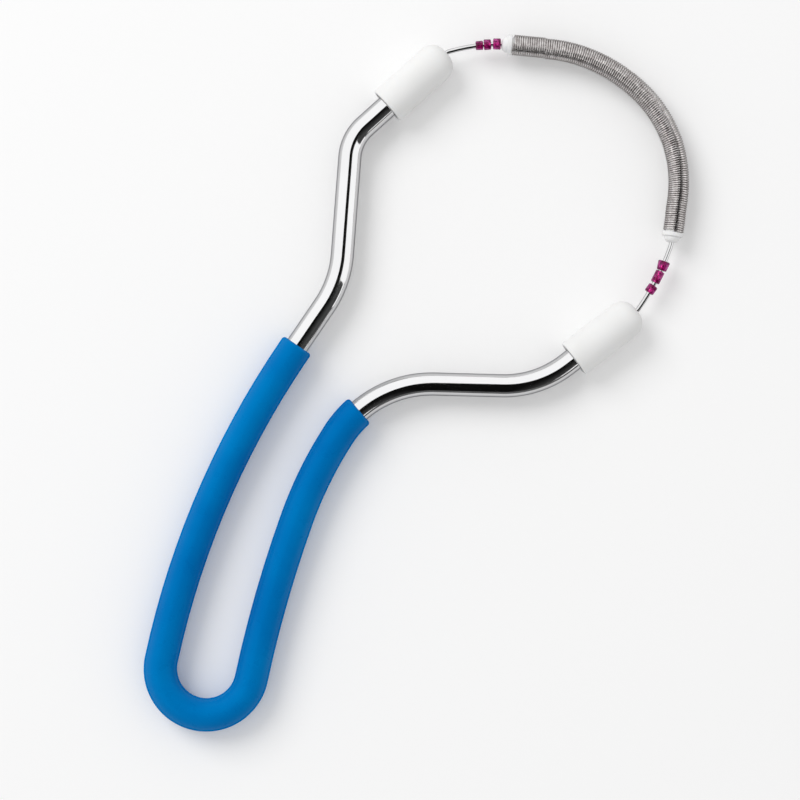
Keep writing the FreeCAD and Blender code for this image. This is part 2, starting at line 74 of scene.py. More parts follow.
def ahead(pose, distance):
    """The pose after a straight step."""
    angle = math.radians(pose.heading)
    return Pose(pose.x + distance * math.sin(angle), pose.y + distance * math.cos(angle), pose.heading)


def after(pose, run, share=1.0):
    """The pose at a share of a run. An arc's chord points half-way between its two headings."""
    if not run.turn:
        return ahead(pose, run.length * share)
    turn = run.turn * share
    chord = 2 * run.length / math.radians(run.turn) * math.sin(math.radians(turn) / 2)
    end = ahead(pose._replace(heading=pose.heading + turn / 2), chord)
    return end._replace(heading=pose.heading + turn)


origin = Pose(0.0, 0.0, 0.0)
print("a quarter bend of radius 10 ends at", [round(v, 3) for v in after(origin, arc(10.0, 90.0))])

# %% Chains of runs


def pose_along(pose, runs, distance):
    """The pose at a distance along a chain of runs, straight on before its start and past its end."""
    if distance < 0:
        return ahead(pose, distance)
    for run in runs:
        if distance <= run.length:
            return after(pose, run, distance / run.length)
        pose = after(pose, run)
        distance -= run.length
    return ahead(pose, distance)


def total(runs):
    """The length of a chain of runs."""
    return sum(run.length for run in runs)


def stations(runs, step):
    """Distances along a chain: both ends of each run, and steps of some degrees within its arcs."""
    distances = [0.0]
    for run in runs:
        count = max(1, math.ceil(abs(run.turn) / step))
        start = distances[-1]
        distances += [start + run.length * k / count for k in range(1, count + 1)]
    return distances


# %% [markdown]
# ## One way to make every round piece
#
# Every piece but the spring, whether drawn, moulded or cut from tube, is round about its own line. A curve
# with a bevel would give the rod, but not a cap's rounded tip or a bead's hole. The function below makes a
# ring of points for each pair of a distance and a radius, and joins the rings with faces. A solid piece is
# closed by a disc at both ends, and a bored one by joining its last ring to its first. An edge stays sharp
# where its faces meet at more than SHARP_ANGLE.
#
# Each point also keeps its place on the straightened piece, in an attribute called grain. Length counts
# for little in it, so a noise that reads it draws long thin lines along the piece, as drawing and
# polishing do.

# %% Sweep
AXIS_HEIGHT = 3.4
GRAIN_STRETCH = 0.03
SHARP_ANGLE = 40


def add_object(name, data):
    """Puts an object with its data, such as a mesh or a lamp, into the scene."""
    added = bpy.data.objects.new(name, data)
    bpy.context.collection.objects.link(added)
    return added


def ring_of_points(mesh, grain, pose, distance, radius, sides):
    """A ring round the line at a pose, with each point's place on the straightened piece."""
    angle = math.radians(pose.heading)
    ring = []
    for k in range(sides):
        turn = 2 * math.pi * k / sides
        across, up = radius * math.sin(turn), radius * math.cos(turn)
        x = pose.x + across * math.cos(angle)
        y = pose.y - across * math.sin(angle)
        point = mesh.verts.new((x * MM, y * MM, (AXIS_HEIGHT + up) * MM))
        point[grain] = (across * MM, up * MM, distance * GRAIN_STRETCH * MM)
        ring.append(point)
    return ring


def sweep(name, start, runs, profile, sides, bored=False):
    """A piece made of rings: one for each pair of a distance and a radius in the profile."""
    mesh = bmesh.new()
    grain = mesh.verts.layers.float_vector.new("grain")
    rings = [ring_of_points(mesh, grain, pose_along(start, runs, distance), distance, radius, sides)
             for distance, radius in profile]
    pairs = list(zip(rings[:-1], rings[1:]))
    if bored:
        pairs.append((rings[-1], rings[0]))
    else:
        mesh.faces.new(rings[0])
        mesh.faces.new(rings[-1][::-1])
    for one, two in pairs:
        for k in range(sides):
            mesh.faces.new((one[k], one[k - 1], two[k - 1], two[k]))
    bmesh.ops.recalc_face_normals(mesh, faces=mesh.faces)
    for face in mesh.faces:
        face.smooth = True
    for edge in mesh.edges:
        edge.smooth = edge.calc_face_angle(0) < math.radians(SHARP_ANGLE)
    data = bpy.data.meshes.new(name)
    mesh.to_mesh(data)
    mesh.free()
    return add_object(name, data)


# %% Rounded edges and the last step of a piece


def rounding(distance, radius, corner_radius, growing, steps=8):
    """Profile points of a rounded outer edge; growing goes from an end face out to the side."""
    points = []
    for k in range(steps + 1):
        angle = math.pi / 2 * k / steps
        if growing:
            points.append((distance + corner_radius * (1 - math.sin(angle)),
                           radius - corner_radius * (1 - math.cos(angle))))
        else:
            points.append((distance - corner_radius * (1 - math.cos(angle)),
                           radius - corner_radius * (1 - math.sin(angle))))
    return points[::-1]


def finish_piece(piece, material, node):
    """Gives a piece its material, its body and the solid that it stands for."""
    piece.data.materials.clear()
    piece.data.materials.append(material)
    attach(piece, "root")
    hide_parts(node)
    print(f"{piece.name}: {len(piece.data.polygons)} faces, on {node}")


# %% [markdown]
# ## Helpers for finishes
#
# A finish could be one flat colour. But real steel and plastic are never quite even, and the eye knows
# them by small changes of colour, gloss and height. Each helper adds one such change to a Principled
# shader, which holds everything else. The noise reads Object coordinates, or the grain, so it stays on the
# piece when the piece moves.

# %% Shader, noise and mixing


def new_material(name, **sockets):
    """A material with one Principled shader; its sockets are set by name."""
    material = bpy.data.materials.new(name)
    material.use_nodes = True
    shader = material.node_tree.nodes["Principled BSDF"]
    for socket, value in sockets.items():
        shader.inputs[socket.replace("_", " ")].default_value = value
    return material, material.node_tree, shader


def noise(tree, waves, detail=4.0, attribute=None):
    """A noise on Object coordinates or on an attribute, with its waves in a metre."""
    if attribute:
        place = tree.nodes.new("ShaderNodeAttribute")
        place.attribute_name = attribute
        place = place.outputs["Vector"]
    else:
        place = tree.nodes.new("ShaderNodeTexCoord").outputs["Object"]
    texture = tree.nodes.new("ShaderNodeTexNoise")
    texture.inputs["Scale"].default_value = waves
    texture.inputs["Detail"].default_value = detail
    tree.links.new(place, texture.inputs["Vector"])
    return texture.outputs["Fac"]


def remap(tree, value, low, high, new_low=0.0, new_high=1.0):
    """Maps a value from one span to another, and holds it at the new span's ends."""
    node = tree.nodes.new("ShaderNodeMapRange")
    for socket, number in zip(("From Min", "From Max", "To Min", "To Max"), (low, high, new_low, new_high)):
        node.inputs[socket].default_value = number
    tree.links.new(value, node.inputs["Value"])
    return node.outputs["Result"]


def mix_colours(tree, factor, first, second):
    """Mixes two colours by a factor; each is three numbers or another node's output."""
    node = tree.nodes.new("ShaderNodeMix")
    node.data_type = "RGBA"
    sockets = {socket.identifier: socket for socket in (*node.inputs, *node.outputs)}
    for name, colour in (("A_Color", first), ("B_Color", second)):
        if isinstance(colour, bpy.types.NodeSocket):
            tree.links.new(colour, sockets[name])
        else:
            sockets[name].default_value = (*colour, 1)
    tree.links.new(factor, sockets["Factor_Float"])
    return sockets["Result_Color"]


# %% Changes of colour, gloss and height


def vary_colour(tree, shader, field, first, second, low=0.35, high=0.7):
    """Takes the base colour from the first, where a noise is low, to the second, where it is high."""
    tone = mix_colours(tree, remap(tree, field, low, high), first, second)
    tree.links.new(tone, shader.inputs["Base Color"])
    return tone


def vary_roughness(tree, shader, field, smooth, rough, low=0.3, high=0.7):
    """Takes the roughness from smooth to rough with a noise."""
    tree.links.new(remap(tree, field, low, high, smooth, rough), shader.inputs["Roughness"])


def add_bump(tree, shader, height, strength, depth):
    """Adds a bump with its depth in millimetres. Bumps stack."""
    node = tree.nodes.new("ShaderNodeBump")
    node.inputs["Strength"].default_value = strength
    node.inputs["Distance"].default_value = depth * MM
    tree.links.new(height, node.inputs["Height"])
    if shader.inputs["Normal"].links:
        tree.links.new(shader.inputs["Normal"].links[0].from_socket, node.inputs["Normal"])
    tree.links.new(node.outputs["Normal"], shader.inputs["Normal"])


# %% [markdown]
# ## The rod's line
#
# The frame is one round steel rod. From the left cap it comes down in an easy S, turns back on itself at
# the foot of the handle, and goes up in a wider S to the right cap. It could be traced as one free curve,
# but its bends are true arcs, and the list below is what a workshop would be given: straight lengths and
# bends, in order, with the radius and the turn of each bend.

# %% The rod's runs
RIGHT_NECK_RADIUS = 19.3
left_arm = [Run(13.7, 0), arc(8.0, -43.6), Run(17.0, 0), arc(18.3, 29.9), Run(9.5, 0)]
handle = [arc(151.5, -22.2), arc(8.0, -180), arc(216.0, 7.7), arc(71.0, 13.1)]
right_arm = [arc(RIGHT_NECK_RADIUS, 58.6), Run(11.7, 0), arc(17.6, -39.1), Run(10.1, 0)]
rod_runs = left_arm + handle + right_arm
rod_start = Pose(-29.578, 40.224, 180.0)
rod_end = pose_along(rod_start, rod_runs, total(rod_runs))
print(f"rod {total(rod_runs):.1f} mm, ends at {rod_end.x:.2f}, {rod_end.y:.2f}")

# %% [markdown]
# ## The rod's finish
#
# The rod is polished and plated until it mirrors the room. A perfect mirror would do at first sight, but
# it looks drawn by a computer. Here the grain changes the gloss in fine lines along the rod, and a wide
# shallow bump makes the reflections swim a little, as they do on stock that went over a polishing wheel.
# On a metal the specular tint is the colour of its edges, and a dark one gives the thin grey outline that
# plated steel has on white.

# %% Polished steel
STEEL_BRIGHT, STEEL_DULL = (0.96, 0.96, 0.965), (0.91, 0.91, 0.92)
chrome, tree, shader = new_material("polished_steel", Metallic=1.0, Specular_Tint=(0.15, 0.15, 0.17, 1))
vary_colour(tree, shader, noise(tree, waves=90), STEEL_BRIGHT, STEEL_DULL)
polish_lines = noise(tree, waves=2600, detail=3, attribute="grain")
vary_roughness(tree, shader, polish_lines, smooth=0.03, rough=0.12, low=0.35)
add_bump(tree, shader, noise(tree, waves=260, detail=2), strength=0.05, depth=0.2)
add_bump(tree, shader, polish_lines, strength=0.12, depth=0.02)
print("rod finish:", len(tree.nodes), "nodes")

# %% [markdown]
# ## The rod's shape
#
# On the real tool this is a solid rod with two flat ends, both hidden in the caps. It could be a curve
# with a round bevel, but that can't carry the grain. A bend needs many rings to look round, and a straight
# length needs none between its ends, so the stations give a ring for every degree and a half of bend, and
# the sweep does the rest.

# %% Rod
ROD_RADIUS = 2.0
ROD_SIDES = 64
ARC_STEP = 1.5
rod = sweep("rod_polished", rod_start, rod_runs, [(s, ROD_RADIUS) for s in stations(rod_runs, ARC_STEP)],
            ROD_SIDES)
finish_piece(rod, chrome, "frame_rod")

# %% [markdown]
# ## The sleeve's finish
#
# Vinyl tube is coloured all through, so its colour hardly changes, and its surface is satin. Its gloss
# could be left even, but then the pale room lays a milky line along both sides of the tube, which soft
# vinyl doesn't have. Layer Weight takes the gloss away towards the rim. A low, wide bump keeps the
# highlight from being ruler-straight.

# %% Blue vinyl
VINYL_BLUE, VINYL_DEEPER = (0.0, 0.19, 0.52), (0.0, 0.14, 0.44)
VINYL_GLOSS = 0.45
GLOSS_FADES, GLOSS_GONE = 0.1, 0.6
vinyl, tree, shader = new_material("blue_vinyl", IOR=1.5, Specular_Tint=(0.0, 0.5, 0.95, 1))
vary_colour(tree, shader, noise(tree, waves=60), VINYL_BLUE, VINYL_DEEPER)
vary_roughness(tree, shader, noise(tree, waves=500), smooth=0.24, rough=0.38)
add_bump(tree, shader, noise(tree, waves=350, detail=3), strength=0.15, depth=0.2)
facing = tree.nodes.new("ShaderNodeLayerWeight").outputs["Facing"]
gloss = remap(tree, facing, GLOSS_FADES, GLOSS_GONE, VINYL_GLOSS, 0.0)
tree.links.new(gloss, shader.inputs["Specular IOR Level"])
print("sleeve finish:", len(tree.nodes), "nodes")

# %% [markdown]
# ## The sleeve's shape
#
# The sleeve is a soft tube, pushed over the handle before the caps go on. A fatter copy of the rod would
# look much the same from far off, but it would have no bore, and square ends where a tube has soft lips.
# So the profile goes along the outside, with a rounded lip at each end, and comes back along the bore. It
# follows the rod's own bends: a little of the left arm, the handle, and the start of the right arm.

# %% Sleeve
SLEEVE_RADIUS = 2.9
SLEEVE_BORE = 2.05
SLEEVE_LIP = 0.55
ON_LEFT_ARM = 1.2
ON_RIGHT_ARM = arc(RIGHT_NECK_RADIUS, 16.5)
sleeve_start = pose_along(rod_start, rod_runs, total(left_arm) - ON_LEFT_ARM)
sleeve_runs = [Run(ON_LEFT_ARM, 0)] + handle + [ON_RIGHT_ARM]
sleeve_length = total(sleeve_runs)
body = [s for s in stations(sleeve_runs, ARC_STEP) if SLEEVE_LIP < s < sleeve_length - SLEEVE_LIP]
profile = [(0, SLEEVE_BORE)] + rounding(0, SLEEVE_RADIUS, SLEEVE_LIP, growing=True)
profile += [(s, SLEEVE_RADIUS) for s in body]
profile += rounding(sleeve_length, SLEEVE_RADIUS, SLEEVE_LIP, growing=False)
profile += [(s, SLEEVE_BORE) for s in [sleeve_length] + body[::-1]]
sleeve = sweep("grip_vinyl", sleeve_start, sleeve_runs, profile, ROD_SIDES, bored=True)
finish_piece(sleeve, vinyl, "grip_sleeve")
print(f"sleeve {sleeve_length:.1f} mm")

# %% [markdown]
# ## The caps' finish
#
# The caps are moulded from a plain white plastic with a faintly pebbled surface. Pure white paint would
# lose their shape on a white floor, so the colour stays below white, and a little light is let into the
# plastic, which softens the edge of its own shadow. Three sizes of noise make its colour, its gloss and
# its surface slightly uneven.

# %% White plastic
CAP_PALE, CAP_GREYER = (0.875, 0.875, 0.87), (0.835, 0.835, 0.825)
CAP_LIGHT_REACH = (0.0012, 0.0011, 0.001)
cap_white, tree, shader = new_material("white_plastic", IOR=1.46, Subsurface_Weight=0.15,
                                       Subsurface_Radius=CAP_LIGHT_REACH)
vary_colour(tree, shader, noise(tree, waves=130), CAP_PALE, CAP_GREYER)
vary_roughness(tree, shader, noise(tree, waves=900), smooth=0.42, rough=0.6)
add_bump(tree, shader, noise(tree, waves=2600, detail=5), strength=0.25, depth=0.03)
print("cap finish:", len(tree.nodes), "nodes")

# %% [markdown]
# ## The caps' shape
#
# A cap is pushed on each end of the rod. It has a bore for the rod with a flared mouth, a rounded tip, and
# a pinhole in the tip where the wire comes out. A cylinder with a Bevel and two Booleans would do it, but
# Booleans leave long thin faces round a hole. One turned profile makes the same walls in clean rings. It
# goes up the outside, round the tip, down the pinhole and back out of the bore, and serves both caps.

# %% Caps
CAP_RADIUS = 3.4
CAP_LENGTH = 13.8
CAP_TIP = 2.6
CAP_RIM = 0.25
CAP_BORE = 2.05
CAP_BORE_DEPTH = 8.55
CAP_MOUTH = 2.9
CAP_MOUTH_DEPTH = 2.4
ROD_IN_CAP = 8.5
PINHOLE = 0.44
CAP_SIDES = 96
profile = [(0, CAP_MOUTH)] + rounding(0, CAP_RADIUS, CAP_RIM, growing=True, steps=4)
profile += rounding(CAP_LENGTH, CAP_RADIUS, CAP_TIP, growing=False, steps=14)
profile += [(CAP_LENGTH, PINHOLE), (CAP_BORE_DEPTH, PINHOLE), (CAP_BORE_DEPTH, CAP_BORE),
            (CAP_MOUTH_DEPTH, CAP_BORE)]
left_out = rod_start._replace(heading=0.0)
for side, out in (("left", left_out), ("right", rod_end)):
    cap = sweep(f"cap_moulded_{side}", ahead(out, -ROD_IN_CAP), [], profile, CAP_SIDES, bored=True)
    finish_piece(cap, cap_white, f"end_cap_{side}")

# %% [markdown]
# ## The spring's own bend
#
# The spring is wound straight and then bent, tighter over its crown than over its left shoulder, and it
# stays straight where a plug fills each end. Its bend could be traced point by point, but two arcs say it
# all, and they fix where everything else on the wire stands.

# %% The crown
COIL_WIRE = 0.39
COIL_TURNS = 130
PLUG_SHANK = 5.8
PLUG_FLANGE = 0.7
PLUG_NOSE = 1.1
SHOULDER_ARC = 19.0
SHOULDER_RADIUS = 27.5
CROWN_RADIUS = 21.7

coil_length = COIL_TURNS * COIL_WIRE
crown_arc = coil_length - 2 * PLUG_SHANK - SHOULDER_ARC
bent_runs = [
    Run(SHOULDER_ARC, math.degrees(SHOULDER_ARC / SHOULDER_RADIUS)),
    Run(crown_arc, math.degrees(crown_arc / CROWN_RADIUS)),
]
plug_outside = PLUG_FLANGE + PLUG_NOSE
in_plug = Run(plug_outside + PLUG_SHANK, 0)
crown_runs = [in_plug] + bent_runs + [in_plug]
coil_runs = [Run(PLUG_SHANK, 0)] + bent_runs + [Run(PLUG_SHANK, 0)]
print(f"spring {coil_length:.1f} mm, bent by {sum(run.turn for run in bent_runs):.1f} degrees")

# %% [markdown]
# ## Where the crown stands
#
# The wire bends at a corner just outside each cap. The crown could have a place of its own, until the
# frame changed. Instead its place comes from the line between those two corners: it stands over the
# middle of that line by a rise and a shift, and leans a little. The wire and the frame then always meet.

# %% The place of the crown
WIRE_EXIT = 0.35
BEND_REACH = 0.45
CROWN_RISE = 9.97
CROWN_SHIFT = -0.71
CROWN_LEAN = -4.06


def bearing(start, end):
    """The heading and the distance from one pose to another."""
    dx, dy = end.x - start.x, end.y - start.y
    return math.degrees(math.atan2(dx, dy)), math.hypot(dx, dy)


beyond_rod = CAP_LENGTH - ROD_IN_CAP
corner_left = ahead(left_out, beyond_rod + WIRE_EXIT)
corner_right = ahead(rod_end, beyond_rod + WIRE_EXIT)
base_heading, base_length = bearing(corner_left, corner_right)
flat_heading, crown_span = bearing(origin, pose_along(origin, crown_runs, total(crown_runs)))
crown_middle = ahead(corner_left._replace(heading=base_heading), base_length / 2 + CROWN_SHIFT)
crown_middle = ahead(crown_middle._replace(heading=base_heading - 90), CROWN_RISE)
crown_heading = base_heading + CROWN_LEAN
nose_left = ahead(crown_middle._replace(heading=crown_heading), -crown_span / 2)
nose_left = nose_left._replace(heading=crown_heading - flat_heading)
nose_right = pose_along(nose_left, crown_runs, total(crown_runs))
coil_start = ahead(nose_left, plug_outside)
coil_end = ahead(nose_right, -plug_outside)
print(f"crown from {nose_left.x:.2f}, {nose_left.y:.2f} to {nose_right.x:.2f}, {nose_right.y:.2f}")

# %% [markdown]
# ## The wire's line
#
# One wire runs through everything in the head, from inside the left end of the rod to inside the right
# end. Between a cap and the crown it has a leg, which bows out a little because the spring pushes on it.
# A straight leg is simpler, but it makes the head look like a polygon. A bowed leg leaves its ends half
# of the bow to either side of the straight way, and a small arc rounds each corner.

# %% The wire's runs
WIRE_EXIT_RADIUS = 1.2
LEFT_BOW = 12.0
RIGHT_BOW = 15.0
LEG_STRAIGHT = 0.2
WIRE_IN_ROD = 5.96


def corner(heading_in, heading_out, radius=None):
    """The arc that rounds a corner, and its reach; without a radius it reaches BEND_REACH."""
    turn = (heading_out - heading_in + 180) % 360 - 180
    half = math.tan(math.radians(abs(turn)) / 2)
    radius = radius or BEND_REACH / half
    return arc(radius, turn), radius * half


def bowed_leg(start, end, bow):
    """The headings at both ends of a leg that turns by a bow, and the reach of its two tangents."""
    heading, length = bearing(start, end)
    return heading - bow / 2, heading + bow / 2, length / 2 / math.cos(math.radians(bow) / 2)


def leg_runs(half, bow, start_cut, end_cut):
    """A leg's runs between the arcs that cut its ends."""
    reach = half - max(start_cut, end_cut) - LEG_STRAIGHT
    bend = arc(reach / math.tan(math.radians(bow) / 2), bow)
    return [Run(half - reach - start_cut, 0), bend, Run(half - reach - end_cut, 0)]


inside = WIRE_IN_ROD + beyond_rod + WIRE_EXIT
first, last, half = bowed_leg(corner_left, ahead(nose_left, -BEND_REACH), LEFT_BOW)
exit_left, cut = corner(left_out.heading, first, WIRE_EXIT_RADIUS)
before_crown = [Run(inside - cut, 0), exit_left, *leg_runs(half, LEFT_BOW, cut, BEND_REACH),
                corner(last, nose_left.heading)[0]]
first, last, half = bowed_leg(ahead(nose_right, BEND_REACH), corner_right, RIGHT_BOW)
exit_right, cut = corner(last, rod_end.heading + 180, WIRE_EXIT_RADIUS)
beyond_crown = [corner(nose_right.heading, first)[0], *leg_runs(half, RIGHT_BOW, BEND_REACH, cut),
                exit_right, Run(inside - cut, 0)]
wire_start = ahead(left_out, -WIRE_IN_ROD)
wire_runs = before_crown + crown_runs + beyond_crown
print(f"wire {total(wire_runs):.1f} mm, {total(before_crown):.1f} mm of it before the crown")

# %% [markdown]
# ## The wire's finish and shape
#
# Hard wire is pulled through a die, which leaves it bright, with the finest of lines along it. It could
# share the rod's material, but a polished rod and a drawn wire differ: the wire's steel is a little
# darker and greyer, and its lines are more than twice as close. The shape is a plain sweep along the
# whole line. Most of it is hidden, and is there because it holds the head together.

# %% Core wire
WIRE_RADIUS = 0.4
WIRE_SIDES = 24
WIRE_STEP = 2
WIRE_BRIGHT, WIRE_DULL = (0.92, 0.92, 0.93), (0.78, 0.78, 0.78)
wire_steel, tree, shader = new_material("wire_steel", Metallic=1.0, Specular_Tint=(0.2, 0.2, 0.2, 1))
vary_colour(tree, shader, noise(tree, waves=700), WIRE_BRIGHT, WIRE_DULL, low=0, high=1)
die_lines = noise(tree, waves=6000, attribute="grain")
vary_roughness(tree, shader, die_lines, smooth=0.03, rough=0.09)
add_bump(tree, shader, die_lines, strength=0.1, depth=0.005)
profile = [(s, WIRE_RADIUS) for s in stations(wire_runs, WIRE_STEP)]
wire = sweep("core_wire_drawn", wire_start, wire_runs, profile, WIRE_SIDES)
finish_piece(wire, wire_steel, "core_wire")

# %% [markdown]
# ## The plugs' finish
#
# The plugs are small mouldings of a smoother, clearer white plastic than the caps. They could share the
# caps' material, but light passes well into so small a piece, and its surface shines more. So it has
# its own, with more light let in and less roughness.

# %% Plug plastic
PLUG_PALE, PLUG_GREYER = (0.90, 0.90, 0.90), (0.80, 0.80, 0.80)
PLUG_LIGHT_REACH = (0.0008, 0.0008, 0.0007)
plug_white, tree, shader = new_material("plug_plastic", IOR=1.46, Subsurface_Weight=0.2,
                                        Subsurface_Radius=PLUG_LIGHT_REACH)
vary_colour(tree, shader, noise(tree, waves=500), PLUG_PALE, PLUG_GREYER, low=0, high=1)
vary_roughness(tree, shader, noise(tree, waves=1200), smooth=0.22, rough=0.36)
add_bump(tree, shader, noise(tree, waves=3200), strength=0.15, depth=0.02)
print("plug finish:", len(tree.nodes), "nodes")

# %% [markdown]
# ## The plugs' shape
#
# A plug closes each end of the spring. Its shank sits inside the turns, its rim is as wide as the spring,
# and its domed nose guides the wire out. A half sphere stuck on the spring would hide the step between
# rim and nose, which catches a fine shadow, so the plug is turned like the caps. The left one points the
# other way, so its line starts at the coil's start and runs back.

# %% Plugs
COIL_RADIUS = 1.8
SHANK_RADIUS = 1.35
NOSE_RADIUS = 1.4
NOSE_ROUNDING = 1.0
FLANGE_ROUNDING = 0.12
PLUG_SIDES = 64
nose_profile = rounding(plug_outside, NOSE_RADIUS, NOSE_ROUNDING, growing=False, steps=12)
profile = [(-PLUG_SHANK, PINHOLE), (-PLUG_SHANK, SHANK_RADIUS), (0, SHANK_RADIUS)]
profile += rounding(0, COIL_RADIUS, FLANGE_ROUNDING, growing=True, steps=4)
profile += rounding(PLUG_FLANGE, COIL_RADIUS, FLANGE_ROUNDING, growing=False, steps=4)
profile += [(PLUG_FLANGE, NOSE_RADIUS)] + [(s, max(r, PINHOLE)) for s, r in nose_profile]
turned_start = coil_start._replace(heading=coil_start.heading + 180)
for side, out in (("left", turned_start), ("right", coil_end)):
    plug = sweep(f"plug_moulded_{side}", out, [], profile, PLUG_SIDES, bored=True)
    finish_piece(plug, plug_white, f"end_plug_{side}")

# %% [markdown]
# ## The beads' finish
#
# The beads are cut from a clear magenta tube. A solid pink would look like paint, so most of the light
# goes through them. A noise takes the colour from deep magenta in one place to bright pink in the next;
# the bright pink patches are painted glints, where light would get out of a small clear thing. The rim is
# painted darker by Layer Weight, which knows where the rim is: painted shade for the light crossing the
# most plastic there.

# %% Magenta plastic
BEAD_DEEP, BEAD_PAINTED_GLINT, BEAD_RIM_PAINTED_SHADE = (0.26, 0.0, 0.11), (0.95, 0.16, 0.6), (0.08, 0.0, 0.04)
RIM_STARTS, RIM_ENDS = 0.45, 0.85
magenta, tree, shader = new_material("bead_plastic", IOR=1.5, Transmission_Weight=0.85,
                                     Specular_Tint=(1.0, 0.55, 0.85, 1))
# painted glints: where the noise is high, bright pink stands in for light getting out of the bead
tone = vary_colour(tree, shader, noise(tree, waves=1500), BEAD_DEEP, BEAD_PAINTED_GLINT, low=0.44, high=0.58)
# painted shade: the colour turns dark towards the rim, by Layer Weight
facing = tree.nodes.new("ShaderNodeLayerWeight").outputs["Facing"]
tone = mix_colours(tree, remap(tree, facing, RIM_STARTS, RIM_ENDS), tone, BEAD_RIM_PAINTED_SHADE)
tree.links.new(tone, shader.inputs["Base Color"])
vary_roughness(tree, shader, noise(tree, waves=1600), smooth=0.03, rough=0.1)
add_bump(tree, shader, noise(tree, waves=2000, detail=2), strength=0.6, depth=0.15)
print("bead finish:", len(tree.nodes), "nodes")

# %% [markdown]
# ## The beads' shape
#
# Three beads hang loose on each leg of the wire. Copies of one bead in a row would look threaded by a
# machine. The real ones are cut roughly to length, so each row below gives a bead's diameter at both
# ends, its length, the gap before it and how far it is turned off the wire, from the plug to the cap.

# %% Beads
BEAD_BORE = 0.55
BEAD_ROUNDING = 0.18
BEAD_SIDES = 40
left_beads = [(1.95, 1.90, 1.33, 0.15, 3.0),
              (1.80, 1.85, 1.25, 0.36, 1.5),
              (1.60, 1.55, 1.29, 0.14, 4.0)]
right_beads = [(2.10, 1.76, 1.65, 3.50, -5.0),
               (1.60, 1.58, 2.20, 0.20, 0.0),
               (1.70, 1.70, 1.50, 0.55, 6.0)]
nose_left_at = total(before_crown)
nose_right_at = nose_left_at + total(crown_runs)


def thread_beads(side, nose_at, away, rows):
    """Threads one side's beads; away is 1 where they follow the wire's own way and -1 where they don't."""
    reached = 0.0
    for number, (near, far, length, gap, tilt) in enumerate(rows, start=1):
        middle = pose_along(wire_start, wire_runs, nose_at + away * (reached + gap + length / 2))
        heading = middle.heading + tilt + (0 if away > 0 else 180)
        start = ahead(middle._replace(heading=heading), -length / 2)
        outline = [(0, BEAD_BORE)] + rounding(0, near / 2, BEAD_ROUNDING, growing=True, steps=5)
        outline += rounding(length, far / 2, BEAD_ROUNDING, growing=False, steps=5)
        outline.append((length, BEAD_BORE))
        bead = sweep(f"bead_tube_{side}_{number}", start, [], outline, BEAD_SIDES, bored=True)
        finish_piece(bead, magenta, f"bead_{side}_{number}")
        reached += gap + length


thread_beads("left", nose_left_at, -1, left_beads)
thread_beads("right", nose_right_at, 1, right_beads)

# %% [markdown]
# ## The spring's finish
#
# Spring steel is drawn hard and left as it comes off the winder, so it is greyer and warmer than the rod
# and less bright. One even grey would make the turns look cast. Patches about a turn wide change the
# colour, and wider ones change the gloss, because the turns rub on each other in use. A fine bump breaks
# up the highlight on every turn.

# %% Spring steel
SPRING_BRIGHT, SPRING_DARK = (0.92, 0.89, 0.88), (0.62, 0.58, 0.57)
spring_steel, tree, shader = new_material("spring_steel", Metallic=1.0, Specular_Tint=(0.3, 0.28, 0.28, 1))
vary_colour(tree, shader, noise(tree, waves=1400), SPRING_BRIGHT, SPRING_DARK, low=0.36, high=0.66)
vary_roughness(tree, shader, noise(tree, waves=300), smooth=0.06, rough=0.14)
add_bump(tree, shader, noise(tree, waves=5000, detail=3), strength=0.1, depth=0.02)
print("spring finish:", len(tree.nodes), "nodes")

# %% [markdown]
# ## The coil spring
#
# The spring is what does the work: one strand of hard steel, wound turn on turn into a close tube. A plain
# tube with a striped bump would be quick, but its edge would be smooth, and the light that plays between
# the turns would be missing. A row of separate rings would not be one strand. A helix follows a rule, so
# Geometry Nodes make it. The tree resamples the spring's centreline to some points in each turn, and moves
# each point out to the side and up or down, by the sine and cosine of its turn. Then a circle is swept
# along those points. The helix also drifts a little in size, and the path carries a small sideways slip,
# because the real turns have slid over each other where the spring bends. The tree ends by realizing its
# instances, because the export drops them.

# %% The tree's inputs
coil_tree = bpy.data.node_groups.new("close_wound_coil", "GeometryNodeTree")
coil_tree.interface.new_socket("Path", in_out="INPUT", socket_type="NodeSocketGeometry")
coil_inputs = {}
for name, kind in (("Turns", "Int"), ("Points in a turn", "Int"), ("Helix radius", "Float"),
                   ("Strand radius", "Float"), ("Strand sides", "Int"), ("Wander", "Float"),
                   ("Material", "Material")):
    socket = coil_tree.interface.new_socket(name, in_out="INPUT", socket_type=f"NodeSocket{kind}")
    coil_inputs[name] = socket.identifier
coil_tree.interface.new_socket("Coil", in_out="OUTPUT", socket_type="NodeSocketGeometry")
given = coil_tree.nodes.new("NodeGroupInput").outputs
print("coil inputs:", list(coil_inputs))

# %% Helpers for the tree


def coil_node(kind, *values, **settings):
    """A node of the tree with its inputs linked or set in order; gives back its first output."""
    node = coil_tree.nodes.new(kind)
    for setting, value in settings.items():
        setattr(node, setting, value)
    sockets = [socket for socket in node.inputs if socket.enabled]
    for socket, value in zip(sockets, values):
        if isinstance(value, bpy.types.NodeSocket):
            coil_tree.links.new(value, socket)
        else:
            socket.default_value = value
    return [socket for socket in node.outputs if socket.enabled][0]


def named_node(kind, **values):
    """A node of the tree with its inputs linked or set by name; gives back its first output."""
    node = coil_tree.nodes.new(kind)
    for name, value in values.items():
        socket = node.inputs[name.replace("_", " ")]
        if isinstance(value, bpy.types.NodeSocket):
            coil_tree.links.new(value, socket)
        else:
            socket.default_value = value
    return node.outputs[0]


def coil_math(operation, *values):
    """A number worked out in the tree."""
    return coil_node("ShaderNodeMath", *values, operation=operation)


def coil_vector(operation, *values):
    """A vector worked out in the tree."""
    return coil_node("ShaderNodeVectorMath", *values, operation=operation)


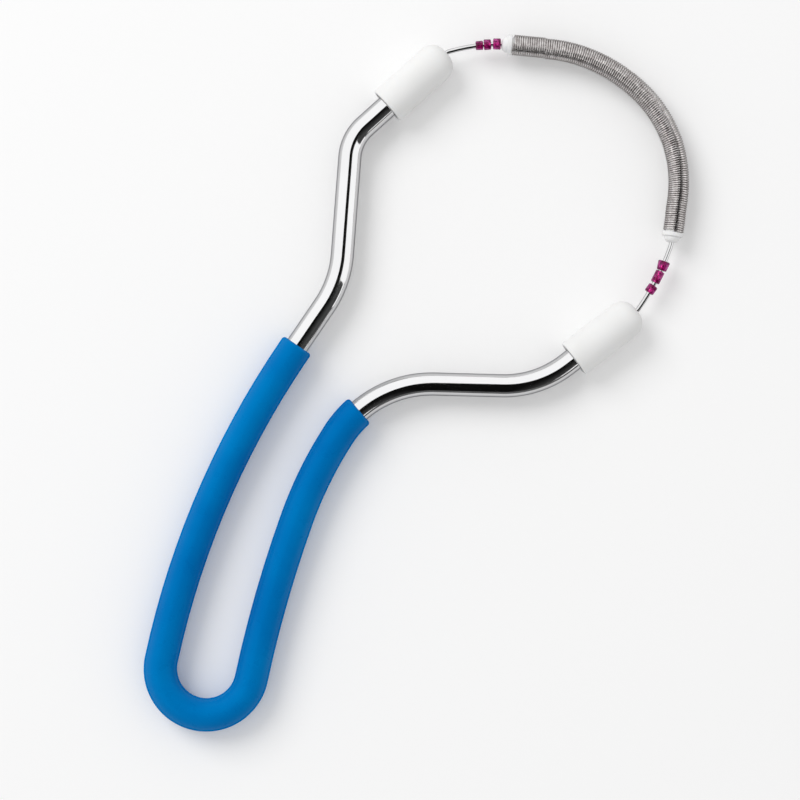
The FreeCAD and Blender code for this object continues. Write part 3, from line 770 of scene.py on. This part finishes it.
# %% The helix
DRIFT_PER_TURN = 0.9
NOISE_MIDDLE = 0.5
count = coil_math("ADD", coil_math("MULTIPLY", given["Turns"], given["Points in a turn"]), 1)
line = coil_node("GeometryNodeMeshToCurve", given["Path"])
line = named_node("GeometryNodeResampleCurve", Curve=line, Count=count)
turn_number = coil_math("DIVIDE", coil_node("GeometryNodeInputIndex"), given["Points in a turn"])
angle = coil_math("MULTIPLY", turn_number, math.tau)
drift = coil_node("ShaderNodeTexNoise", turn_number, DRIFT_PER_TURN, noise_dimensions="1D")
drift = coil_math("MULTIPLY", coil_math("SUBTRACT", drift, NOISE_MIDDLE), given["Wander"])
helix = coil_math("ADD", given["Helix radius"], drift)
slip = coil_node("GeometryNodeInputNamedAttribute", "slip", data_type="FLOAT")
sideways = coil_math("ADD", coil_math("MULTIPLY", helix, coil_math("SINE", angle)), slip)
upwards = coil_math("MULTIPLY", helix, coil_math("COSINE", angle))
right = coil_vector("CROSS_PRODUCT", coil_node("GeometryNodeInputTangent"), (0, 0, 1))
spread = coil_tree.nodes.new("ShaderNodeVectorMath")
spread.operation = "SCALE"
coil_tree.links.new(right, spread.inputs["Vector"])
coil_tree.links.new(sideways, spread.inputs["Scale"])
lift = coil_node("ShaderNodeCombineXYZ", 0.0, 0.0, upwards)
offset = coil_vector("ADD", spread.outputs["Vector"], lift)
helix_line = named_node("GeometryNodeSetPosition", Geometry=line, Offset=offset)
print("helix:", len(coil_tree.nodes), "nodes so far")

# %% The strand
ring = named_node("GeometryNodeCurvePrimitiveCircle", Resolution=given["Strand sides"],
                  Radius=given["Strand radius"])
strand = named_node("GeometryNodeCurveToMesh", Curve=helix_line, Profile_Curve=ring, Fill_Caps=True)
strand = named_node("GeometryNodeSetShadeSmooth", Geometry=strand)
strand = named_node("GeometryNodeRealizeInstances", Geometry=strand)
strand = named_node("GeometryNodeSetMaterial", Geometry=strand, Material=given["Material"])
result = coil_tree.nodes.new("NodeGroupOutput")
coil_tree.links.new(strand, result.inputs["Coil"])
print("coil tree:", len(coil_tree.nodes), "nodes")

# %% [markdown]
# ## The coil's path
#
# The tree needs a line to wind the strand on. It could be a curve object, but a mesh of points and edges
# can carry the slip as an attribute, point by point. The points stand along the spring's centreline.

# %% The path of the coil
PATH_STEP = 0.2
SLIPS = [(0.0, -0.04), (5.7, -0.04), (5.9, 0.1), (8.5, 0.03), (12.0, 0.0), (20.0, 0.0), (20.3, 0.05),
         (22.0, 0.0), (34.0, 0.0), (34.3, -0.05), (36.0, 0.0), (47.5, 0.0), (47.8, -0.06), (50.7, -0.03)]


def slip_at(distance):
    """The turns' sideways slip at a distance, in millimetres."""
    for (start, low), (end, high) in zip(SLIPS[:-1], SLIPS[1:]):
        if distance <= end:
            return low + (high - low) * (distance - start) / (end - start)
    return SLIPS[-1][1]


steps = round((coil_length - COIL_WIRE) / PATH_STEP)
distances = [COIL_WIRE / 2 + (coil_length - COIL_WIRE) * k / steps for k in range(steps + 1)]
poses = [pose_along(coil_start, coil_runs, s) for s in distances]
path_mesh = bpy.data.meshes.new("coil_path")
path_mesh.from_pydata([(pose.x * MM, pose.y * MM, AXIS_HEIGHT * MM) for pose in poses],
                      [(k, k + 1) for k in range(steps)], [])
slips = path_mesh.attributes.new("slip", "FLOAT", "POINT")
slips.data.foreach_set("value", [slip_at(s) * MM for s in distances])
path = add_object("coil_path", path_mesh)
print("coil path:", len(distances), "points")

# %% [markdown]
# ## The strand's size
#
# The strand is a little thinner than the pitch, the step from one turn to the next. At full thickness the
# turns would merge into a ribbed tube. Thinner, they almost touch on the inside of the bend and open on
# the outside, which shows as fine dark lines. The coil is made a plain mesh and its modifier is taken off
# before it gets its body, because the frame's calls are meant for finished meshes.

# %% The coil
STRAND_RADIUS = 0.178
POINTS_IN_A_TURN = 30
STRAND_SIDES = 9
WANDER = 0.05
modifier = path.modifiers.new("coil", "NODES")
modifier.node_group = coil_tree
for name, value in (("Turns", COIL_TURNS - 1), ("Points in a turn", POINTS_IN_A_TURN),
                    ("Helix radius", (COIL_RADIUS - STRAND_RADIUS) * MM), ("Strand sides", STRAND_SIDES),
                    ("Strand radius", STRAND_RADIUS * MM), ("Wander", WANDER * MM),
                    ("Material", spring_steel)):
    modifier[coil_inputs[name]] = value
evaluated = path.evaluated_get(bpy.context.evaluated_depsgraph_get())
coil_mesh = bpy.data.meshes.new_from_object(evaluated)
path.modifiers.clear()
bpy.data.objects.remove(path)
coil = add_object("coil_strand", coil_mesh)
finish_piece(coil, spring_steel, "coil_spring")
print(f"strand {2 * math.pi * (COIL_RADIUS - STRAND_RADIUS) * COIL_TURNS:.0f} mm long")

# %% [markdown]
# ## The floor
#
# The tool lies on a plain pale floor. It could be made white with more light, but that would bleach the
# tool too. So the floor's own colour is pale, and Is Camera Ray adds the last touch of white where the
# camera looks at it. Mirrors see a greyer floor, which gives the rod its soft grey edges.

# %% Picture directions and the floor
RIGHT = Vector((0.6691, 0.7431, 0))
UP = Vector((-0.7431, 0.6691, 0))
TARGET = Vector((9.862, -0.776, AXIS_HEIGHT)) * MM
FLOOR_HALF = 2.5
FLOOR_LIFT = 0.055
FLOOR_PALE = (0.94, 0.94, 0.94)
FLOOR_IN_MIRRORS = (0.66, 0.66, 0.66)


def flat_piece(name, corners, material):
    """One flat face from its corners, with its material."""
    data = bpy.data.meshes.new(name)
    data.from_pydata(corners, [], [range(len(corners))])
    data.materials.append(material)
    piece = add_object(name, data)
    return piece


floor_white, tree, shader = new_material("floor_white", Roughness=0.9, Specular_IOR_Level=0.1,
                                         Emission_Color=(1, 1, 1, 1))
rays = tree.nodes.new("ShaderNodeLightPath").outputs
tone = mix_colours(tree, rays["Is Glossy Ray"], FLOOR_PALE, FLOOR_IN_MIRRORS)
tree.links.new(tone, shader.inputs["Base Color"])
lift = remap(tree, rays["Is Camera Ray"], 0, 1, 0, FLOOR_LIFT)
tree.links.new(lift, shader.inputs["Emission Strength"])
corners = [(x * FLOOR_HALF, y * FLOOR_HALF, 0) for x, y in ((-1, -1), (1, -1), (1, 1), (-1, 1))]
flat_piece("floor", corners, floor_white)
print("floor:", 2 * FLOOR_HALF, "m wide")

# %% [markdown]
# ## Cards for the steel to reflect
#
# Polished steel has no look of its own, only what it reflects, and in an all-white room it would vanish.
# Its dark stripes could be painted on, but they would stay put when the tool turns. A photographer hangs
# black cards over the table instead, and so does this cell. Each card is seen only in reflections. The
# corners are measured in card heights along the picture's right and up. The paper goes from almost black
# to a dark grey along the picture's right.

# %% Paper
PAPER_BLACK, PAPER_GREY = 0.005, 0.075
GREY_STARTS, GREY_ENDS = 0.2, 1.2


def card_paper(name, near, far):
    """Matt paper whose grey goes from near to far along the picture's right."""
    material, tree, shader = new_material(name, Roughness=1.0, Specular_IOR_Level=0.0)
    along = tree.nodes.new("ShaderNodeVectorMath")
    along.operation = "DOT_PRODUCT"
    along.inputs[1].default_value = RIGHT
    tree.links.new(tree.nodes.new("ShaderNodeTexCoord").outputs["Object"], along.inputs[0])
    share = remap(tree, along.outputs["Value"], GREY_STARTS, GREY_ENDS)
    tree.links.new(mix_colours(tree, share, (near,) * 3, (far,) * 3), shader.inputs["Base Color"])
    return material


black_paper = card_paper("black_paper", PAPER_BLACK, PAPER_GREY)
print("paper:", black_paper.name)

# %% Cards over the tool
CARD_HEIGHT = 1.2


def hang_card(name, places, material):
    """A card that only reflections see; a place is metres along right, up and above the tool."""
    corners = [TARGET + RIGHT * right + UP * up + Vector((0, 0, height)) for right, up, height in places]
    piece = flat_piece(name, corners, material)
    piece.visible_camera = False
    piece.visible_shadow = False
    piece.visible_diffuse = False
    piece.visible_transmission = False


over_the_rod = [(0.07, 0.27), (0.5, 0.27), (0.5, -0.1), (4.5, -1.4), (4.5, -3.2), (1.3, -1.4), (1.4, -2.3),
                (2.3, -5.5), (0.6, -5.5), (0.4, -2.8), (-0.4, -2.8), (-0.3, -0.1), (-0.06, 0.09)]
over_the_coil = [(0.28, 0.28), (1.1, 0.28), (1.8, 2.8), (2.6, 5.5), (0.7, 5.5), (0.45, 2.8)]
below_the_coil = [(-0.5, -0.9), (-2.6, -0.8), (-2.6, -2.6), (-0.5, -2.6)]
card_shapes = {"rod_card": over_the_rod, "coil_card": over_the_coil, "shade_card": below_the_coil}
for name, shape in card_shapes.items():
    hang_card(name, [(x * CARD_HEIGHT, y * CARD_HEIGHT, CARD_HEIGHT) for x, y in shape], black_paper)
print("cards hang", CARD_HEIGHT, "m over the tool")

# %% [markdown]
# ## A standing card
#
# The spring's lower side looks low over the floor, under the hanging cards. Lowering them would spoil the
# rod's stripes, so one more card of grey paper stands just over the floor, beyond the picture's lower
# edge.

# %% The standing card
STANDING_AT = -1.1
STANDING_HALF = 1.8
STANDING_TOP = 0.45
STANDING_GREY = 0.12
grey_paper = card_paper("grey_paper", STANDING_GREY, STANDING_GREY)
places = [(x * STANDING_HALF, STANDING_AT, z * STANDING_TOP) for x, z in ((-1, 0), (1, 0), (1, 1), (-1, 1))]
hang_card("low_card", places, grey_paper)
print("standing card:", 2 * STANDING_HALF, "m wide")

# %% [markdown]
# ## The light
#
# The tool is lit like goods on a table, by a large soft lamp at the picture's upper left and a pale room
# all round. One lamp alone would throw a hard black shadow, and the room alone would leave none at all.
# Mirrors see the room brighter than it lights, and don't see the lamp, whose round shape would show in
# the rod.

# %% World and key light
ROOM_LIGHT, ROOM_IN_MIRRORS = 0.67, 0.97
KEY_SIZE = 0.9
KEY_POWER = 9.0
KEY_ASIDE, KEY_HEIGHT = 0.75, 0.95
world = bpy.data.worlds.new("pale_studio")
bpy.context.scene.world = world
world.use_nodes = True
background = world.node_tree.nodes["Background"]
background.inputs["Color"].default_value = (1.0, 1.0, 1.0, 1)
rays = world.node_tree.nodes.new("ShaderNodeLightPath").outputs
strength = remap(world.node_tree, rays["Is Glossy Ray"], 0, 1, ROOM_LIGHT, ROOM_IN_MIRRORS)
world.node_tree.links.new(strength, background.inputs["Strength"])

key_data = bpy.data.lights.new("key", "AREA")
key_data.shape = "DISK"
key_data.size = KEY_SIZE
key_data.energy = KEY_POWER
key = add_object("key", key_data)
key.location = TARGET + KEY_ASIDE * (UP - RIGHT) + Vector((0, 0, KEY_HEIGHT))
key.rotation_euler = (TARGET - key.location).to_track_quat("-Z", "Y").to_euler()
key.visible_glossy = False
print("key lamp:", KEY_POWER, "W at", [round(v, 2) for v in key.location])

# %% [markdown]
# ## The camera
#
# The picture was taken from straight above, with the handle towards its lower left. The tool could be
# turned to match, but its pieces have to stay where their solids are. So the camera is turned about Z
# instead. The view transform is Standard, which shows a colour as it is written.

# %% Camera
CAMERA_DISTANCE = 0.4
CAMERA_LENS = 103.5
SENSOR_WIDTH = 36
camera_data = bpy.data.cameras.new("camera")
camera_data.sensor_width = SENSOR_WIDTH
camera_data.lens = CAMERA_LENS
camera = add_object("camera", camera_data)
camera.location = TARGET + Vector((0, 0, CAMERA_DISTANCE))
camera.rotation_euler = (0, 0, math.atan2(RIGHT.y, RIGHT.x))
bpy.context.scene.camera = camera
bpy.context.scene.view_settings.view_transform = "Standard"
print("camera:", CAMERA_DISTANCE, "m above the tool")
